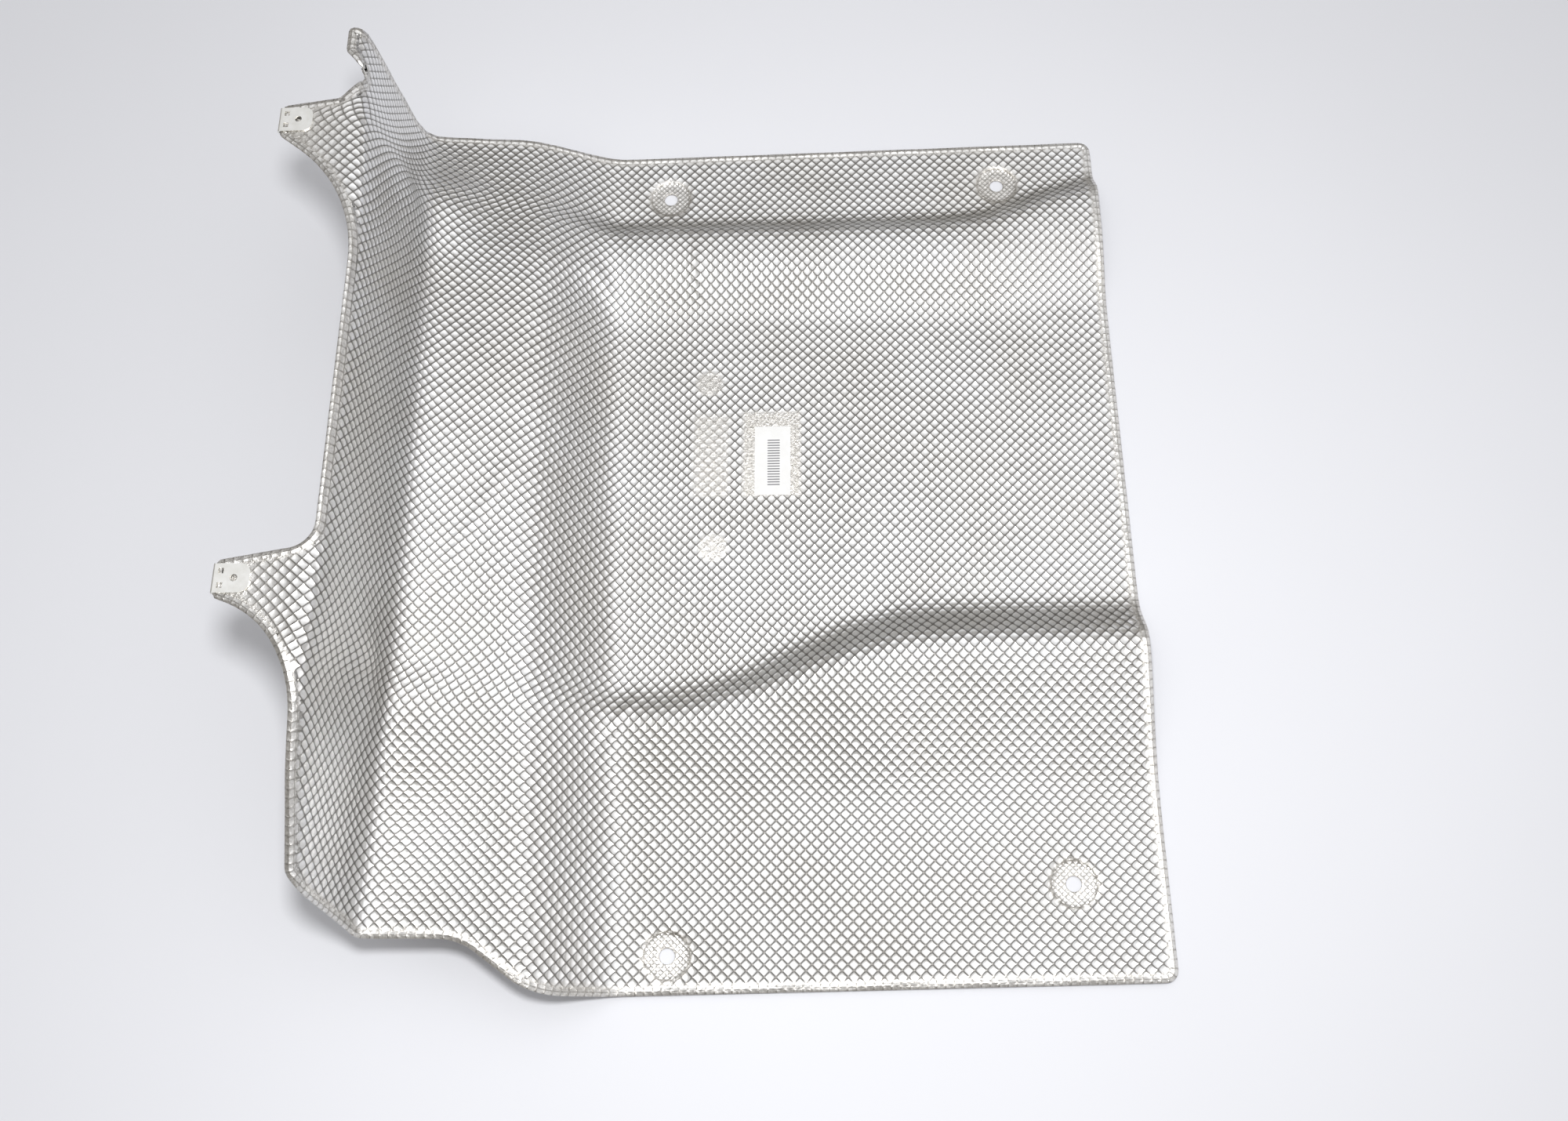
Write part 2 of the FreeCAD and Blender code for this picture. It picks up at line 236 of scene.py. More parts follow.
# Rows of points, half a pitch apart along the diagonals, measured along the skin from its right edge
def drapedRows():
    step = skin["pitch"] / 2.0 / math.sqrt(2.0)
    (lowX, lowY), (highX, highY) = cadBox[0][:2], cadBox[1][:2]
    rowCount = int((highY - lowY) / step) + skin["spareRows"]
    ys = lowY + (np.arange(rowCount) - 1.5) * step
    xs = np.arange(highX + skin["rowMargin"], lowX - skin["rowMargin"], -skin["rayStep"])
    longest = 0
    rows = []
    for y in ys:
        zs = np.array([heightAt(x, y) for x in xs])
        for centre, radius in holes:
            masked = radius + skin["holeMargin"]
            if abs(y - centre[1]) < masked:
                zs[np.hypot(xs - centre[0], y - centre[1]) < masked] = np.nan
        known = np.flatnonzero(~np.isnan(zs))
        if len(known) < skin["leastPoints"]:
            rows.append(None)
            continue
        span = slice(known[0], known[-1] + 1)
        z = np.interp(np.arange(known[0], known[-1] + 1), known, zs[known])
        for turn in range(2):   # a ray that slips between two facets falls to the underside
            z[1:-1] = np.median([z[:-2], z[1:-1], z[2:]], axis=0)
        x = xs[span]
        run = np.concatenate([[0.0], np.cumsum(np.hypot(np.diff(x), np.diff(z)))]) + (xs[0] - x[0])
        rows.append((x, z, run))
        longest = max(longest, run[-1])
    columns = int(longest / step) + skin["spareRows"]
    places = np.arange(columns) * step
    grid = np.full((rowCount, columns, 3), np.nan)
    for k, row in enumerate(rows):
        if row is None:
            continue
        x, z, run = row
        covered = (places >= run[0]) & (places <= run[-1])
        grid[k, covered, 0] = np.interp(places[covered], run, x)
        grid[k, covered, 1] = ys[k]
        grid[k, covered, 2] = np.interp(places[covered], run, z)
    return grid


# Carries the rows a little past the edge, straight on from the last two points
def runOn(grid, layers):
    for layer in range(layers):
        total = np.zeros_like(grid)
        count = np.zeros(grid.shape[:2])
        for axis in (0, 1):
            for way in (1, -1):
                one = np.roll(grid, way, axis=axis)
                two = np.roll(grid, 2 * way, axis=axis)
                guess = 2.0 * one - two
                usable = ~np.isnan(guess[..., 0])
                total[usable] += guess[usable]
                count[usable] += 1
        missing = np.isnan(grid[..., 0]) & (count > 0)
        grid[missing] = total[missing] / count[missing][:, None]
    return grid


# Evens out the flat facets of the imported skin, leaving its ends where they are
def relaxed(grid, passes):
    known = ~np.isnan(grid[..., 0])
    held = ~known
    for axis in (0, 1):
        for way in (1, -1):
            held |= ~np.roll(known, way, axis=axis)
    for turn in range(passes):
        mean = sum(np.roll(grid, way, axis=axis) for axis in (0, 1) for way in (1, -1)) / 4.0
        grid = np.where(held[..., None], grid, 0.5 * grid + 0.5 * mean)
    return grid


def gridNormals(grid):
    along = np.roll(grid, -1, axis=1) - np.roll(grid, 1, axis=1)
    across = np.roll(grid, -1, axis=0) - np.roll(grid, 1, axis=0)
    normal = np.cross(across, along)
    normal /= np.maximum(np.linalg.norm(normal, axis=2), 1e-12)[..., None]
    normal[np.isnan(normal[..., 0])] = (0.0, 0.0, 1.0)
    normal *= np.where(normal[..., 2:] < 0.0, -1.0, 1.0)
    return normal


# Flat places pressed on the panel: centre, half size or radius, and how much of a pillow stays
flatPads = [
    {"centre": (30.3 * mm, 53.4 * mm), "half": (21.5 * mm, 33.0 * mm), "stays": 0.1},
    {"centre": (-10.2 * mm, 52.4 * mm), "half": (14.0 * mm, 32.0 * mm), "stays": 0.4},
]
roundStamps = [
    {"centre": (-12.2 * mm, 106.4 * mm), "radius": 10.5 * mm, "stays": 0.25},
    {"centre": (-8.2 * mm, -13.6 * mm), "radius": 10.5 * mm, "stays": 0.2},
]
stampSoftness = 2.0 * mm

# Crushed skin beside the spring nuts, by how far it lies from their inner ends along the tab
nutCrush = {
    "stays": 0.2, "gain": 0.45, "regain": 0.54,
    "before": 8.0 * mm, "after": 8.0 * mm, "end": 34.0 * mm,
}


# How much of a pillow stays at each place
def pillowShare(points, edgeDistance):
    share = smoothStep(skin["hemInset"], skin["hemInset"] + skin["fadeIn"], edgeDistance)
    for centre, radius in holes:
        reach = np.hypot(points[:, 0] - centre[0], points[:, 1] - centre[1])
        share *= smoothStep(radius, radius + skin["fadeIn"], reach)
    for pad in flatPads:
        outX = np.abs(points[:, 0] - pad["centre"][0]) - pad["half"][0]
        outY = np.abs(points[:, 1] - pad["centre"][1]) - pad["half"][1]
        fade = smoothStep(-skin["fadeIn"], 0.0, np.maximum(outX, outY))
        share *= pad["stays"] + (1.0 - pad["stays"]) * fade
    for stamp in roundStamps:
        reach = np.hypot(points[:, 0] - stamp["centre"][0], points[:, 1] - stamp["centre"][1])
        fade = smoothStep(stamp["radius"] - stampSoftness, stamp["radius"], reach)
        share *= stamp["stays"] + (1.0 - stamp["stays"]) * fade
    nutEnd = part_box("clip_nut_rear")[1][0]
    near = smoothStep(nutEnd - nutCrush["before"], nutEnd + nutCrush["after"], points[:, 0])
    far = smoothStep(nutEnd + nutCrush["after"], nutEnd + nutCrush["end"], points[:, 0])
    share *= (nutCrush["stays"] + nutCrush["gain"] * near) * (1.0 + nutCrush["regain"] * far)
    return share


# Creases from handling: two ends, half width and height
creases = [
    {"from": (-132.0 * mm, 34.0 * mm), "to": (-182.0 * mm, -80.0 * mm), "half": 5.0 * mm, "height": 1.7 * mm},
    {"from": (-22.0 * mm, 214.0 * mm), "to": (-20.0 * mm, 166.0 * mm), "half": 4.0 * mm, "height": 1.2 * mm},
    {"from": (-50.0 * mm, -106.0 * mm), "to": (-80.0 * mm, -156.0 * mm),
     "half": 3.0 * mm, "height": 1.3 * mm},
    {"from": (-101.0 * mm, 196.0 * mm), "to": (-62.0 * mm, 150.0 * mm), "half": 6.0 * mm, "height": 1.4 * mm},
]

# Rounded swellings on the wing's wall and at the front ridge's foot: centre, reach and height
swells = [
    {"centre": (-203.0 * mm, -112.0 * mm, 90.0 * mm), "reach": 18.0 * mm, "height": 3.4 * mm},
    {"centre": (-203.0 * mm, -136.0 * mm, 76.0 * mm), "reach": 18.0 * mm, "height": 3.2 * mm},
    {"centre": (-205.0 * mm, 203.0 * mm, 88.0 * mm), "reach": 18.0 * mm, "height": 3.6 * mm},
    {"centre": (100.0 * mm, -148.0 * mm, 8.0 * mm), "reach": 32.0 * mm, "height": 3.0 * mm},
]

# Runs over which the waves and creases fade in: beside the edge, a flat pad and a stud disc
calm = {"edge": (8.0 * mm, 30.0 * mm), "pad": (1.0 * mm, 20.0 * mm), "hole": (2.0 * mm, 25.0 * mm)}


# Slow waves, creases and swellings over the skin
def unevenness(points, edgeDistance):
    k = 2.0 * math.pi / skin["waveLength"]
    x, y = points[:, 0], points[:, 1]
    wave = np.sin(k * (x + 0.4 * y) + 0.7) * np.sin(k * (0.8 * y - 0.3 * x) + 1.9)
    wave += 0.6 * np.sin(k * 1.9 * (0.7 * x - y) + 2.2) * np.sin(k * 1.7 * (x + y) + 0.3)
    height = skin["waveHeight"] * wave
    for crease in creases:
        start, end = np.array(crease["from"]), np.array(crease["to"])
        run = end - start
        share = np.clip(((points[:, :2] - start) @ run) / (run @ run), 0.0, 1.0)
        gap = np.linalg.norm(points[:, :2] - start - share[:, None] * run, axis=1)
        taper = np.sin(math.pi * np.clip(share, 0.02, 0.98))
        height += crease["height"] * taper * np.exp(-(gap / crease["half"]) ** 2)
    fade = smoothStep(*calm["edge"], edgeDistance)
    for pad in flatPads:
        outX = np.abs(x - pad["centre"][0]) - pad["half"][0]
        outY = np.abs(y - pad["centre"][1]) - pad["half"][1]
        fade *= smoothStep(*calm["pad"], np.maximum(outX, outY))
    for centre, radius in holes:
        reach = np.hypot(x - centre[0], y - centre[1])
        fade *= smoothStep(radius + calm["hole"][0], radius + calm["hole"][1], reach)
    height *= fade
    for swell in swells:
        gap = np.linalg.norm(points - np.array(swell["centre"]), axis=1)
        height += swell["height"] * np.exp(-(gap / swell["reach"]) ** 2)
    return height


# One face of the skin, cut to the outline and holes by drawing its border points onto them
def skinFace(grid, normals, stride, depth, pillowHeight):
    rows, columns = grid.shape[:2]
    k, m = np.meshgrid(np.arange(0, rows, stride), np.arange(0, columns, stride), indexing="ij")
    even = ((k + m) // stride) % 2 == 0
    known = even & ~np.isnan(grid[::stride, ::stride, 0])
    index = np.full(known.shape, -1)
    index[known] = np.arange(known.sum())
    points = grid[::stride, ::stride][known]
    normal = normals[::stride, ::stride][known]
    across, along = k[known], m[known]
    distance, nearest = insideOutline(points)
    inside = distance > skin["hemInset"]
    inward = np.where(distance[:, None] > 0.0, points - nearest, nearest - points)
    inward /= np.maximum(np.linalg.norm(inward, axis=1), 1e-9)[:, None]
    pulled = points.copy()
    pulled[~inside] = nearest[~inside] + inward[~inside] * skin["hemInset"]
    for centre, radius in holes:
        offset = points[:, :2] - np.array(centre[:2])
        reach = np.linalg.norm(offset, axis=1)
        over = (reach < radius) & (np.abs(points[:, 2] - centre[2]) < skin["holeLevel"])
        outward = offset[over] / np.maximum(reach[over], 1e-9)[:, None]
        pulled[over, :2] = np.array(centre[:2]) + outward * radius
        inside &= ~over
    for i in np.flatnonzero(~inside):
        pulled[i] = ontoSkin(pulled[i], normal[i])
    share = pillowShare(pulled, np.where(inside, distance, skin["hemInset"]))
    i2, j2 = (along + across) // (2 * stride), (along - across) // (2 * stride)
    peak = (i2 % 2 == 0) & (j2 % 2 == 0)
    lift = unevenness(pulled, distance) + pillowHeight * share * np.where(peak, 1.0, 0.0) - depth
    pulled += normal * lift[:, None]
    faces = []
    oddK, oddM = np.nonzero(~even)
    for kk, mk in zip(oddK, oddM):
        if kk == 0 or mk == 0 or kk == known.shape[0] - 1 or mk == known.shape[1] - 1:
            continue
        ring = [index[kk, mk - 1], index[kk - 1, mk], index[kk, mk + 1], index[kk + 1, mk]]
        if min(ring) < 0 or not inside[ring].any():
            continue
        if not (peak[ring[0]] or peak[ring[2]]):
            ring = ring[1:] + ring[:1]
        faces.append((ring[0], ring[1], ring[2]))
        faces.append((ring[0], ring[2], ring[3]))
    step = skin["pitch"] / 2.0 / math.sqrt(2.0)
    a, b = (along + across) * step / math.sqrt(2.0), (along - across) * step / math.sqrt(2.0)
    lattice = np.stack([a, b], axis=1) / skin["pitch"]
    return pulled, np.array(faces), lattice, share


# Faces between rings of points, closed round each ring and from the last ring to the first
def sweptFaces(ringCount, count):
    faces = []
    for ring in range(ringCount):
        other = (ring + 1) % ringCount
        for i in range(count):
            j = (i + 1) % count
            faces.append((ring * count + i, ring * count + j, other * count + j, other * count + i))
    return faces


# Rolled edge all round
def hemFace():
    ahead = np.roll(edgeLoop, -1, axis=0) - np.roll(edgeLoop, 1, axis=0)
    tangent = ahead / np.linalg.norm(ahead, axis=1)[:, None]
    inward = np.stack([-ahead[:, 1], ahead[:, 0]], axis=1)
    inward /= np.maximum(np.linalg.norm(inward, axis=1), 1e-9)[:, None]
    probe = edgeLoop.copy()
    probe[:, :2] += inward * 1.0 * mm
    if np.median(insideOutline(probe)[0]) < 0.0:
        inward = -inward
    inner = edgeLoop.copy()
    inner[:, :2] += inward * hem["probe"]
    for i, (x, y) in enumerate(inner[:, :2]):
        z = heightAt(x, y)
        inner[i, 2] = edgeLoop[i, 2] if math.isnan(z) else z
    side = (inner - edgeLoop) / np.linalg.norm(inner - edgeLoop, axis=1)[:, None]
    for turn in range(3):
        side = side + np.roll(side, 1, axis=0) + np.roll(side, -1, axis=0)
        side -= tangent * (side * tangent).sum(axis=1)[:, None]
        side /= np.maximum(np.linalg.norm(side, axis=1), 1e-9)[:, None]
    normal = np.cross(tangent, side)
    normal *= np.where(normal[:, 2:] < 0.0, -1.0, 1.0)
    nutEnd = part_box("clip_nut_rear")[1][0] + hem["nutMargin"]
    underNut = np.zeros(len(edgeLoop), dtype=bool)
    for name in ("clip_nut_rear", "clip_nut_front"):
        low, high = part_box(name)
        beside = (edgeLoop[:, 1] > low[1] - mm) & (edgeLoop[:, 1] < high[1] + mm)
        underNut |= (edgeLoop[:, 0] < nutEnd) & beside
    rings = []
    turn = np.arange(len(edgeLoop))
    for place, (across, over) in enumerate(hem["profile"]):
        wobble = hem["wobble"] * np.sin(turn * 0.37 + place) * np.sin(turn * 0.11 + 2.0 * place)
        free = over * mm + wobble * (0.5 if over < 0.0 else 1.0)
        rise = np.where(underNut, min(over, 0.0) * hem["nutSeat"] * mm, free)
        base = edgeLoop + side * (across * mm)
        if across > hem["followFrom"]:
            base = np.array([ontoSkin(point, up) for point, up in zip(base, normal)])
        rings.append(base + normal * rise[:, None])
    points = np.concatenate(rings)
    count = len(edgeLoop)
    faces = sweptFaces(len(rings), count)
    run = np.tile(turn * hem["grain"][0], len(rings))
    lattice = np.stack([run, np.repeat(np.arange(len(rings)), count) * hem["grain"][1]], axis=1)
    return points, faces, lattice, np.full(len(points), hem["stays"])


# Dished disc round a stud hole
def discFace(centre):
    count = studDisc["segments"]
    angles = np.arange(count) * 2.0 * math.pi / count
    base = centre[2] - mounts["stud_hole_back_left"]["dims"]["length_mm"] * mm / 2.0
    rings = []
    for radius, height in studDisc["profile"]:
        around = [np.cos(angles) * radius, np.sin(angles) * radius, np.full(count, height)]
        ring = np.stack(around, axis=1) * mm
        if height > 0.5 and radius > studDisc["holeRim"]:
            dents = np.sin(9.0 * angles + 2.3 * radius) * np.sin(4.0 * angles + radius)
            ring[:, 2] += studDisc["wobble"] * dents
        rings.append(ring + np.array([centre[0], centre[1], base]))
    points = np.concatenate(rings)
    faces = sweptFaces(len(rings), count)
    diagonals = [points[:, 1] - points[:, 0], -points[:, 0] - points[:, 1]]
    lattice = np.stack(diagonals, axis=1) * studDisc["grain"] / skin["pitch"]
    stays = [studDisc["stays"] if radius > studDisc["holeRim"] else 0.0
             for radius, height in studDisc["profile"]]
    return points, faces, lattice, np.repeat(stays, count)


# One mesh from several faces, with the lattice as its UV map and the pillow share as an attribute
def meshPiece(name, parts, material):
    points, faces, lattice, share = [], [], [], []
    offset = 0
    for partPoints, partFaces, partLattice, partShare in parts:
        points.append(partPoints)
        faces += [tuple(int(i) + offset for i in face) for face in partFaces]
        lattice.append(partLattice)
        share.append(partShare)
        offset += len(partPoints)
    points, lattice, share = np.concatenate(points), np.concatenate(lattice), np.concatenate(share)
    used = np.unique(np.concatenate([np.array(face) for face in faces]))
    place = np.full(len(points), -1)
    place[used] = np.arange(len(used))
    points, lattice, share = points[used], lattice[used], share[used]
    mesh = bpy.data.meshes.new(name)
    mesh.from_pydata(points.tolist(), [], [tuple(int(place[i]) for i in face) for face in faces])
    mesh.update()
    layer = mesh.uv_layers.new(name="lattice")
    corner = np.empty(len(mesh.loops), dtype=int)
    mesh.loops.foreach_get("vertex_index", corner)
    layer.data.foreach_set("uv", lattice[corner].astype(np.float32).reshape(-1))
    attribute = mesh.attributes.new("pillow", "FLOAT", "POINT")
    attribute.data.foreach_set("value", share.astype(np.float32))
    mesh.polygons.foreach_set("use_smooth", np.ones(len(mesh.polygons), dtype=bool))
    piece = bpy.data.objects.new(name, mesh)
    bpy.context.scene.collection.objects.link(piece)
    piece.data.materials.append(material)
    return piece


# Node helpers
def newMaterial(name):
    material = bpy.data.materials.new(name)
    material.use_nodes = True
    nodes = material.node_tree.nodes
    links = material.node_tree.links
    return material, nodes, links, nodes["Principled BSDF"]


def mathNode(nodes, links, operation, first, second=None):
    node = nodes.new("ShaderNodeMath")
    node.operation = operation
    for socket, value in zip(node.inputs, (first, second)):
        if value is None:
            continue
        if isinstance(value, (int, float)):
            socket.default_value = value
        else:
            links.new(value, socket)
    return node.outputs[0]


def noiseNode(nodes, links, coordinates, scale, detail=4.0, roughness=0.55):
    node = nodes.new("ShaderNodeTexNoise")
    node.inputs["Scale"].default_value = scale
    node.inputs["Detail"].default_value = detail
    node.inputs["Roughness"].default_value = roughness
    links.new(coordinates, node.inputs["Vector"])
    return node.outputs["Fac"]


def rampNode(nodes, links, value, stops):
    node = nodes.new("ShaderNodeValToRGB")
    ramp = node.color_ramp
    while len(ramp.elements) < len(stops):
        ramp.elements.new(0.5)
    for element, (place, colour) in zip(ramp.elements, stops):
        element.position = place
        element.color = (*colour, 1.0)
    links.new(value, node.inputs["Fac"])
    return node.outputs["Color"]


def mixColour(nodes, links, blend, factor, first, second):
    node = nodes.new("ShaderNodeMix")
    node.data_type = "RGBA"
    node.blend_type = blend
    for socket, value in ((node.inputs[0], factor), (node.inputs[6], first), (node.inputs[7], second)):
        if isinstance(value, (int, float)):
            socket.default_value = value
        elif isinstance(value, tuple):
            socket.default_value = (*value, 1.0)
        else:
            links.new(value, socket)
    return node.outputs[2]


def bumpNode(nodes, links, shader, height, strength, depth):
    bump = nodes.new("ShaderNodeBump")
    bump.inputs["Strength"].default_value = strength
    bump.inputs["Distance"].default_value = depth
    links.new(height, bump.inputs["Height"])
    links.new(bump.outputs["Normal"], shader.inputs["Normal"])


# Embossed aluminium: flat-topped pillows with their thin grooves painted darker as painted shade, and a fine
# crush where they are pressed flat
def embossedAluminium():
    look = {
        # The groove and edge colours are painted shade: the base colour is darkened into the grooves between
        # the pillows and at their edges
        "groove": (0.2, 0.193, 0.182), "edge": (0.46, 0.455, 0.445), "pillow": (0.91, 0.91, 0.91),
        "edgeFrom": 0.14, "pillowFrom": 0.36,
        "crushDark": (0.4, 0.38, 0.35), "crushPale": (0.8, 0.785, 0.755), "crushSpan": (0.38, 0.6),
        "tint": (0.94, 0.925, 0.9), "tintSpan": (0.3, 0.65),
        "fineScale": 900.0, "crushScale": 620.0, "broadScale": 14.0,
        "roughness": 0.18, "broadRough": 0.18, "fineRough": 0.12,
        "roundness": 0.7, "crushBump": 0.9, "fineBump": 0.06, "bumpDepth": 0.66 * mm,
    }
    material, nodes, links, shader = newMaterial("embossedAluminium")
    uv = nodes.new("ShaderNodeUVMap")
    uv.uv_map = "lattice"
    split = nodes.new("ShaderNodeSeparateXYZ")
    links.new(uv.outputs["UV"], split.inputs[0])
    waves = []
    for axis in ("X", "Y"):
        turned = mathNode(nodes, links, "MULTIPLY", split.outputs[axis], math.pi)
        wave = mathNode(nodes, links, "ABSOLUTE", mathNode(nodes, links, "COSINE", turned))
        waves.append(wave)
    pillow = mathNode(nodes, links, "MULTIPLY", waves[0], waves[1])
    share = nodes.new("ShaderNodeAttribute")
    share.attribute_name = "pillow"
    kept = share.outputs["Fac"]
    rounded = mathNode(nodes, links, "POWER", pillow, look["roundness"])
    shaped = mathNode(nodes, links, "MULTIPLY", rounded, kept)
    lost = mathNode(nodes, links, "SUBTRACT", 1.0, kept)
    coordinates = nodes.new("ShaderNodeTexCoord").outputs["Object"]
    fine = noiseNode(nodes, links, coordinates, look["fineScale"], 3.0)
    crushed = noiseNode(nodes, links, coordinates, look["crushScale"], 4.0, 0.7)
    broad = noiseNode(nodes, links, coordinates, look["broadScale"], 4.0)
    # Painted shade: this ramp darkens the base colour from the pillow tops down into the grooves
    stops = [(0.0, look["groove"]), (look["edgeFrom"], look["edge"]), (look["pillowFrom"], look["pillow"])]
    groove = rampNode(nodes, links, pillow, stops)
    stops = zip(look["crushSpan"], (look["crushDark"], look["crushPale"]))
    pressed = rampNode(nodes, links, crushed, list(stops))
    colour = mixColour(nodes, links, "MIX", kept, pressed, groove)
    stops = zip(look["tintSpan"], (look["tint"], (1.0, 1.0, 1.0)))
    tint = rampNode(nodes, links, broad, list(stops))
    colour = mixColour(nodes, links, "MULTIPLY", 1.0, colour, tint)
    links.new(colour, shader.inputs["Base Color"])
    shader.inputs["Metallic"].default_value = 1.0
    rough = mathNode(nodes, links, "MULTIPLY", broad, look["broadRough"])
    fineRough = mathNode(nodes, links, "MULTIPLY", fine, look["fineRough"])
    rough = mathNode(nodes, links, "ADD", rough, fineRough)
    links.new(mathNode(nodes, links, "ADD", rough, look["roughness"]), shader.inputs["Roughness"])
    crushBump = mathNode(nodes, links, "MULTIPLY", lost, look["crushBump"])
    height = mathNode(nodes, links, "ADD", shaped, mathNode(nodes, links, "MULTIPLY", crushed, crushBump))
    fineBump = mathNode(nodes, links, "MULTIPLY", fine, look["fineBump"])
    height = mathNode(nodes, links, "ADD", height, fineBump)
    bumpNode(nodes, links, shader, height, 1.0, look["bumpDepth"])
    return material


# Zinc-plated spring steel with fine rolling lines
def platedSteel():
    look = {
        "dull": (0.8, 0.79, 0.75), "pale": (0.92, 0.915, 0.89),
        "lineScale": (60.0, 1400.0, 300.0), "cloudScale": 180.0,
        "roughness": 0.26, "lineRough": 0.2, "bump": 0.25, "bumpDepth": 0.1 * mm,
    }
    material, nodes, links, shader = newMaterial("platedSteel")
    coordinates = nodes.new("ShaderNodeTexCoord").outputs["Object"]
    stretch = nodes.new("ShaderNodeMapping")
    stretch.inputs["Scale"].default_value = look["lineScale"]
    links.new(coordinates, stretch.inputs["Vector"])
    lines = noiseNode(nodes, links, stretch.outputs["Vector"], 1.0, 3.0)
    cloud = noiseNode(nodes, links, coordinates, look["cloudScale"], 4.0)
    colour = rampNode(nodes, links, cloud, [(0.3, look["dull"]), (0.7, look["pale"])])
    links.new(colour, shader.inputs["Base Color"])
    shader.inputs["Metallic"].default_value = 1.0
    rough = mathNode(nodes, links, "MULTIPLY", lines, look["lineRough"])
    links.new(mathNode(nodes, links, "ADD", rough, look["roughness"]), shader.inputs["Roughness"])
    bumpNode(nodes, links, shader, lines, look["bump"], look["bumpDepth"])
    return material


# Matt white label paper with one plain field of even bars
def labelPaper():
    look = {
        "dull": (0.7, 0.7, 0.69), "pale": (0.745, 0.745, 0.74), "cloudScale": 120.0, "fibreScale": 1500.0,
        "roughness": 0.62, "bump": 0.3, "bumpDepth": 0.05 * mm,
    }
    bars = {
        "left": 0.36, "right": 0.7, "bottom": 0.14, "top": 0.82,
        "spacing": 1.9 * mm, "inkFrom": 0.1, "ink": (0.2, 0.2, 0.21),
    }
    low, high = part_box("blank_label")
    wide, tall = high[0] - low[0], high[1] - low[1]
    material, nodes, links, shader = newMaterial("labelPaper")
    coordinates = nodes.new("ShaderNodeTexCoord").outputs["Object"]
    split = nodes.new("ShaderNodeSeparateXYZ")
    links.new(coordinates, split.inputs[0])
    printed = mathNode(nodes, links, "MULTIPLY", split.outputs["Y"], 2.0 * math.pi / bars["spacing"])
    printed = mathNode(nodes, links, "GREATER_THAN", mathNode(nodes, links, "SINE", printed), bars["inkFrom"])
    for axis, operation, place in (("X", "GREATER_THAN", low[0] + wide * bars["left"]),
                                   ("X", "LESS_THAN", low[0] + wide * bars["right"]),
                                   ("Y", "GREATER_THAN", low[1] + tall * bars["bottom"]),
                                   ("Y", "LESS_THAN", low[1] + tall * bars["top"])):
        within = mathNode(nodes, links, operation, split.outputs[axis], place)
        printed = mathNode(nodes, links, "MULTIPLY", printed, within)
    fibre = noiseNode(nodes, links, coordinates, look["fibreScale"], 3.0)
    cloud = noiseNode(nodes, links, coordinates, look["cloudScale"], 3.0)
    colour = rampNode(nodes, links, cloud, [(0.3, look["dull"]), (0.7, look["pale"])])
    links.new(mixColour(nodes, links, "MIX", printed, colour, bars["ink"]), shader.inputs["Base Color"])
    shader.inputs["Roughness"].default_value = look["roughness"]
    bumpNode(nodes, links, shader, fibre, look["bump"], look["bumpDepth"])
    return material


aluminium = embossedAluminium()
steel = platedSteel()
paper = labelPaper()

spare = (skin["spareRows"], skin["spareRows"])
grid = np.pad(drapedRows(), (spare, spare, (0, 0)), constant_values=np.nan)
grid = relaxed(runOn(grid, skin["runOnRows"]), skin["smoothPasses"])
normals = gridNormals(grid)
print("skin draped", grid.shape)

parts = [skinFace(grid, normals, 1, 0.0, skin["pillowHeight"])]
under = skinFace(grid, normals, 2, skin["sheet"], 0.0)
parts.append((under[0], under[1][:, ::-1], under[2], under[3]))
parts.append(hemFace())
parts += [discFace(mounts[name]["pos_m"]) for name in mounts if name.startswith("stud")]
panel = meshPiece("pressedSkin", parts, aluminium)
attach(panel, "root")
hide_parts("shield_panel")
print("pressed skin", len(panel.data.vertices), "points", len(panel.data.polygons), "faces")

for name in ("clip_nut_rear", "clip_nut_front"):
    node = frame["nodes"][name]
    node.data.materials.clear()
    node.data.materials.append(steel)
label = frame["nodes"]["blank_label"]
label.data.materials.clear()
label.data.materials.append(paper)
print("nuts and label finished")


# Floor, lights and camera
studio = {
    "floorColour": (0.71, 0.718, 0.752),
    "floorDull": 0.985,
    "floorRoughness": 0.85,
    "floorHalf": 12.0,
    "floorLevel": -0.15 * mm,
    "keyPlace": (0.06, -0.19, 0.95), "keySize": 0.13, "keyWatts": 6.6,
    "horizonColour": (0.29, 0.268, 0.238),
    "wallColour": (0.31, 0.298, 0.282),
    "wallFrom": 0.66,
    "ceilingColour": (0.98, 0.985, 1.0),
    "ceilingFrom": 0.89,
    "ceilingLean": 0.28,          # radians from overhead towards the back
    "windowColour": (1.0, 1.0, 1.02),
    "windowX": (0.25, 0.7),       # where the window begins and is full, as parts of a direction
    "windowZ": (0.05, 0.42),
    "worldStrength": 1.0,
}


def floorPiece():
    mesh = bpy.data.meshes.new("floor")
    half, low = studio["floorHalf"], studio["floorLevel"]
    corners = [(-half, -half, low), (half, -half, low), (half, half, low), (-half, half, low)]
    mesh.from_pydata(corners, [], [(0, 1, 2, 3)])
    piece = bpy.data.objects.new("floor", mesh)
    bpy.context.scene.collection.objects.link(piece)
    material, nodes, links, shader = newMaterial("floorPaper")
    coordinates = nodes.new("ShaderNodeTexCoord").outputs["Object"]
    cloud = noiseNode(nodes, links, coordinates, 3.0, 3.0)
    pale = studio["floorColour"]
    dull = tuple(studio["floorDull"] * part for part in pale)
    links.new(rampNode(nodes, links, cloud, [(0.3, dull), (0.7, pale)]), shader.inputs["Base Color"])
    shader.inputs["Roughness"].default_value = studio["floorRoughness"]
    mesh.materials.append(material)


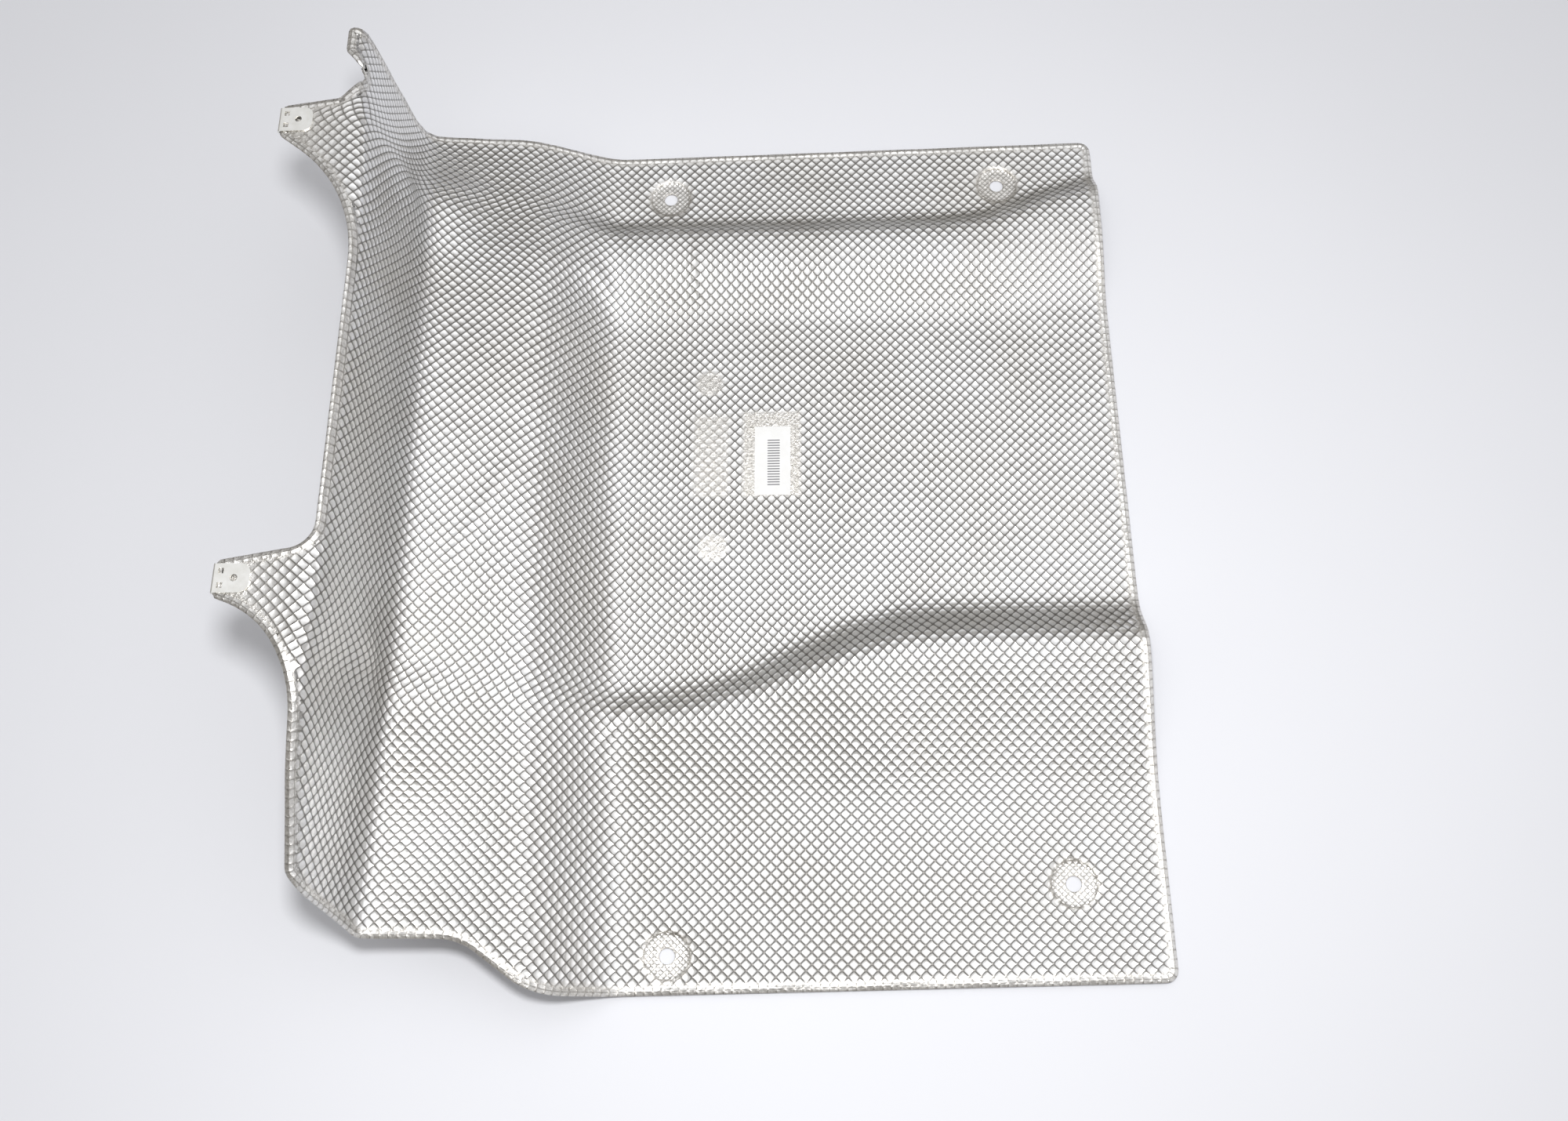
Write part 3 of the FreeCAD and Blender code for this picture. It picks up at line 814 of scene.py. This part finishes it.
def areaLight(name, place, target, size, watts):
    light = bpy.data.lights.new(name, "AREA")
    light.shape = "DISK"
    light.size = size
    light.energy = watts
    lamp = bpy.data.objects.new(name, light)
    lamp.location = place
    lamp.rotation_euler = (Vector(target) - Vector(place)).to_track_quat("-Z", "Y").to_euler()
    bpy.context.scene.collection.objects.link(lamp)


# Room light: a pale ceiling over duller walls, with a window high on the right
def roomLight():
    world = bpy.data.worlds.new("room")
    world.use_nodes = True
    bpy.context.scene.world = world
    nodes, links = world.node_tree.nodes, world.node_tree.links
    direction = nodes.new("ShaderNodeTexCoord").outputs["Generated"]
    split = nodes.new("ShaderNodeSeparateXYZ")
    links.new(direction, split.inputs[0])
    leanY = mathNode(nodes, links, "MULTIPLY", split.outputs["Y"], math.sin(studio["ceilingLean"]))
    leanZ = mathNode(nodes, links, "MULTIPLY", split.outputs["Z"], math.cos(studio["ceilingLean"]))
    stops = [(0.0, studio["horizonColour"]), (studio["wallFrom"], studio["wallColour"]),
             (studio["ceilingFrom"], studio["ceilingColour"])]
    colour = rampNode(nodes, links, mathNode(nodes, links, "ADD", leanY, leanZ), stops)
    window = 1.0
    for axis, (least, full) in (("X", studio["windowX"]), ("Z", studio["windowZ"])):
        within = nodes.new("ShaderNodeMapRange")
        within.interpolation_type = "SMOOTHSTEP"
        within.inputs["From Min"].default_value = least
        within.inputs["From Max"].default_value = full
        links.new(split.outputs[axis], within.inputs["Value"])
        window = mathNode(nodes, links, "MULTIPLY", within.outputs["Result"], window)
    colour = mixColour(nodes, links, "MIX", window, colour, studio["windowColour"])
    background = nodes["Background"]
    links.new(colour, background.inputs["Color"])
    background.inputs["Strength"].default_value = studio["worldStrength"]


# Camera as the photograph was taken: its place, and its right and forward directions
view = {
    "place": (0.0748, -0.3376, 0.866),
    "right": (0.9991, 0.0, -0.0420),
    "forward": (-0.0395, 0.3423, -0.9388),
    "lens": 32.4,
}


def photoCamera():
    camera = bpy.data.cameras.new("photoCamera")
    camera.lens = view["lens"]
    camera.sensor_width = 36.0
    camera.clip_start = 0.01
    back = -Vector(view["forward"]).normalized()
    right = Vector(view["right"])
    right = (right - back * right.dot(back)).normalized()
    upward = back.cross(right)
    turn = Matrix((right, upward, back)).transposed().to_4x4()
    piece = bpy.data.objects.new("photoCamera", camera)
    piece.matrix_world = Matrix.Translation(view["place"]) @ turn
    bpy.context.scene.collection.objects.link(piece)
    bpy.context.scene.camera = piece


floorPiece()
areaLight("key", studio["keyPlace"], (0.0, 0.0, 0.0), studio["keySize"], studio["keyWatts"])
roomLight()
photoCamera()
bpy.context.scene.view_settings.view_transform = "Standard"
print("studio set")
